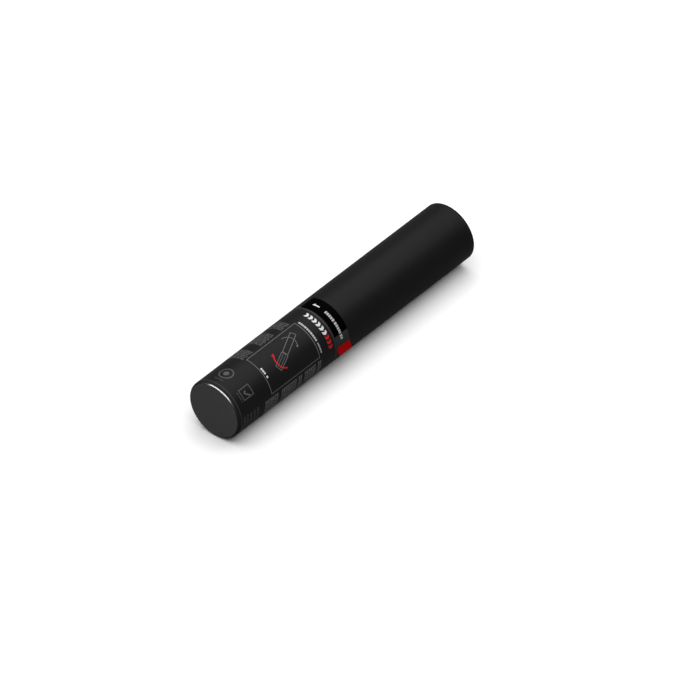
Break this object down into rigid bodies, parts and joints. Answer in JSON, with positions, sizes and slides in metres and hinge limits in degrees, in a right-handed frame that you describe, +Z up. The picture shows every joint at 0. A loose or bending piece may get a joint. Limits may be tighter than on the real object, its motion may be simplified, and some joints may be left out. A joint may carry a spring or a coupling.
{
  "type": "confetti popper",
  "caption": "Hand-held twist-fired confetti popper: a black card barrel loaded with paper slips on a twist grip that holds a gas bottle, valve and cam.",
  "frame": {"origin": "on the floor, under the middle of the popper's length, as it lies on its side", "axes": "+X along the tube from the base to the muzzle, +Z up"},
  "size_m": [0.28, 0.0531, 0.0508],
  "materials": {
    "black_card": "matte black wrapped card",
    "grip_card": "matte black card",
    "label_print": "satin printed label",
    "cap_plastic": "satin face with glossy rim",
    "bush_plastic": "satin moulded",
    "housing_plastic": "satin moulded",
    "cam_plastic": "natural nylon",
    "bottle_aluminium": "drawn and brushed",
    "valve_brass": "turned",
    "bright_steel": "turned or pressed",
    "seal_rubber": "moulded",
    "wad_plastic": "natural moulded",
    "cover_card": "plain grey board",
    "strip_film": "glossy printed film",
    "tab_film": "glossy printed film",
    "paper_orange": "tissue paper",
    "paper_lime": "tissue paper",
    "paper_blue": "tissue paper",
    "paper_magenta": "tissue paper",
    "paper_yellow": "tissue paper",
    "paper_red": "tissue paper",
    "paper_green": "tissue paper",
    "paper_navy": "tissue paper"
  },
  "bodies": {
    "barrel": {"barrel_tube": "black_card", "coupler": "housing_plastic", "cam_sleeve": "cam_plastic", "cam_screws": "bright_steel", "diffuser_plate": "bright_steel", "retaining_ring": "bright_steel", "journal_seal": "seal_rubber"},
    "grip": {"grip_tube": "grip_card", "grip_label": "label_print", "grip_bush": "bush_plastic", "base_cap": "cap_plastic", "gas_cylinder": "bottle_aluminium", "cylinder_pad": "seal_rubber", "cylinder_collar": "housing_plastic", "valve_body": "valve_brass", "neck_gasket": "seal_rubber", "thrust_washer": "cam_plastic"},
    "plug": {"release_plug": "valve_brass", "plug_seals": "seal_rubber", "cross_pin": "bright_steel"},
    "load": {"wad": "wad_plastic", "cover_disc": "cover_card", "confetti_orange": "paper_orange", "confetti_lime": "paper_lime", "confetti_blue": "paper_blue", "confetti_magenta": "paper_magenta", "confetti_yellow": "paper_yellow", "confetti_red": "paper_red", "confetti_green": "paper_green", "confetti_navy": "paper_navy"},
    "cap": {"muzzle_cap": "cap_plastic"},
    "strip": {"safety_strip": "strip_film"},
    "tab": {"pull_tab": "tab_film"}
  },
  "joints": [
    {"name": "grip_twist", "type": "hinge", "parent": "barrel", "child": "grip", "pos_m": [0, 0, 0.0253], "axis": [1, 0, 0], "range_deg": [0, 90]},
    {"name": "plug_lift", "type": "slide", "parent": "grip", "child": "plug", "axis": [1, 0, 0], "range_m": [0, 0.006]},
    {"name": "load_eject", "type": "slide", "parent": "barrel", "child": "load", "axis": [1, 0, 0], "range_m": [0, 0.15]},
    {"name": "cap_eject", "type": "slide", "parent": "barrel", "child": "cap", "axis": [1, 0, 0], "range_m": [0, 0.15]},
    {"name": "strip_peel", "type": "hinge", "parent": "barrel", "child": "strip", "pos_m": [-0.017, 0.01139, 0.04805], "axis": [-1, 0, 0], "range_deg": [0, 110]},
    {"name": "tab_lift", "type": "hinge", "parent": "strip", "child": "tab", "pos_m": [-0.017, -0.02546, 0.02692], "axis": [-1, 0, 0], "range_deg": [0, 100]}
  ],
  "couplings": [
    {"joint": "plug_lift", "follows": "grip_twist", "m_per_rad": 0.0038197},
    {"joint": "cap_eject", "follows": "load_eject", "ratio": 1}
  ]
}
